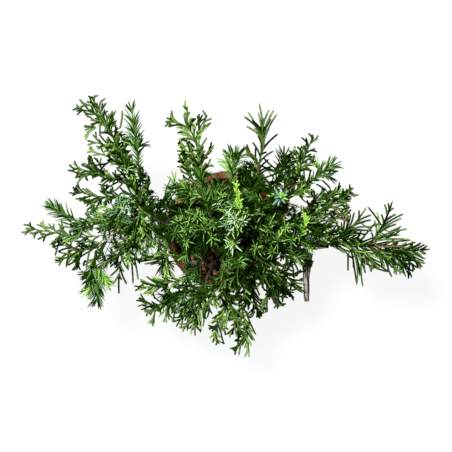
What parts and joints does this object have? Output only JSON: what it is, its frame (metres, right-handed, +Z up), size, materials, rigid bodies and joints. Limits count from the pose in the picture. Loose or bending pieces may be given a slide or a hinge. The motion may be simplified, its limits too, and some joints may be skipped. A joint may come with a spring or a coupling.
{
  "type": "potted juniper",
  "caption": "Small Chinese juniper with a bent trunk, wide uneven sprays of scale and needle foliage and a bare dead limb, growing in a round terracotta pot.",
  "frame": {"origin": "centre of the pot's flat underside", "axes": "+Z up along the pot's axis, +X to the right along the plant's longest spread, +Y to the back; seen from straight above, +Y is up the picture"},
  "size_m": [0.408, 0.26, 0.317],
  "materials": {
    "terracotta": "matt unglazed terracotta",
    "soil": "rough granules",
    "bark": "rough fibrous bark",
    "deadwood": "weathered bare wood",
    "foliage": "scale and needle leaves"
  },
  "bodies": {
    "root": {"pot": "terracotta", "soil": "soil", "trunk": "bark", "bough_left": "bark", "bough_back_left": "bark", "bough_back": "bark", "bough_back_right": "bark", "bough_right": "bark", "bough_front_right": "bark", "bough_front": "bark", "bough_front_left": "bark", "dead_limb_inner": "deadwood", "dead_limb_outer": "deadwood", "foliage_crown_top": "foliage", "foliage_crown_left": "foliage", "foliage_crown_back": "foliage", "foliage_crown_front": "foliage", "foliage_crown_right": "foliage", "foliage_inner_left": "foliage", "foliage_inner_right": "foliage", "foliage_inner_front": "foliage", "foliage_inner_back": "foliage", "foliage_left_back_shoot": "foliage", "foliage_left_back_leader": "foliage", "foliage_left_back_fan": "foliage", "foliage_left_upper_fan": "foliage", "foliage_left_heart": "foliage", "foliage_left_tuft": "foliage", "foliage_left_leader": "foliage", "foliage_left_lower_fan": "foliage", "foliage_left_front_leader": "foliage", "foliage_left_front_tuft": "foliage", "foliage_bough_back": "foliage", "foliage_bough_sprig": "foliage", "foliage_bough_front": "foliage", "foliage_bough_hanging": "foliage", "foliage_back_left_leader": "foliage", "foliage_back_tuft": "foliage", "foliage_back_shoot": "foliage", "foliage_back_tip": "foliage", "foliage_back_right_tuft": "foliage", "foliage_back_right_leader": "foliage", "foliage_right_back_tuft": "foliage", "foliage_right_heart": "foliage", "foliage_right_back_fan": "foliage", "foliage_right_upper_fan": "foliage", "foliage_right_leader": "foliage", "foliage_right_lower_fan": "foliage", "foliage_right_out_tuft": "foliage", "foliage_right_tip": "foliage", "foliage_front_right_fan": "foliage", "foliage_front_right_tuft": "foliage", "foliage_front_fan": "foliage", "foliage_front_leader": "foliage", "foliage_front_left_fan": "foliage", "foliage_front_left_leader": "foliage", "foliage_front_far_fan": "foliage", "foliage_front_far_tuft": "foliage"}
  },
  "joints": []
}
